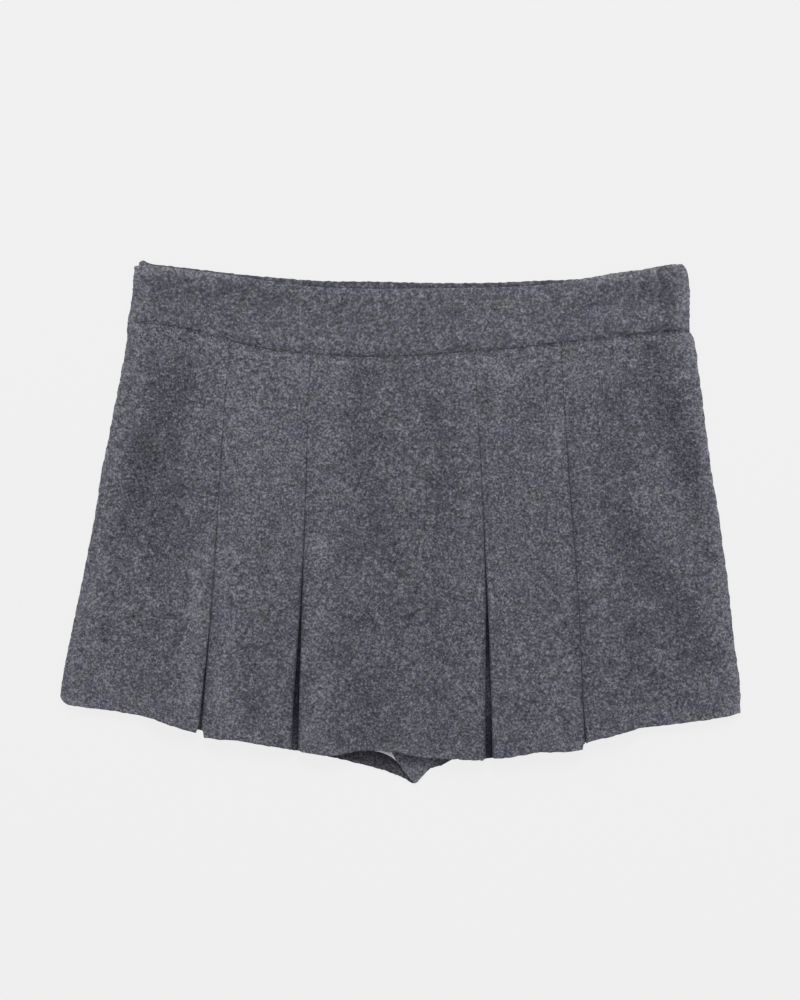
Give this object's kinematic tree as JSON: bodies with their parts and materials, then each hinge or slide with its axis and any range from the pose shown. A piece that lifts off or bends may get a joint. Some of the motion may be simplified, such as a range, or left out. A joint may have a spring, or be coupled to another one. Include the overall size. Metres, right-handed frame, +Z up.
{
  "type": "pleated mini skort",
  "caption": "Pleated wool mini skort laid flat: contoured waistband, skirt front with inverted pleats over built-in shorts whose crotch shows below the hem.",
  "frame": {"origin": "Under the middle of the garment's box, on the surface that it lies on.", "axes": "+X to the right as seen from above, +Y towards the waist, +Z up out of the surface."},
  "size_m": [0.4634, 0.3572, 0.0092],
  "materials": {
    "wool_flannel": "heathered charcoal wool flannel, soft milled nap, matt",
    "pale_lining": "pale grey ribbed lining, low sheen"
  },
  "bodies": {
    "root": {"waistband_front": "wool_flannel", "waistband_back": "wool_flannel", "skirt_front": "wool_flannel", "shorts_front_left": "wool_flannel", "shorts_front_right": "wool_flannel", "shorts_back_left": "wool_flannel", "shorts_back_right": "wool_flannel", "lining_edge_left": "pale_lining"}
  },
  "joints": []
}
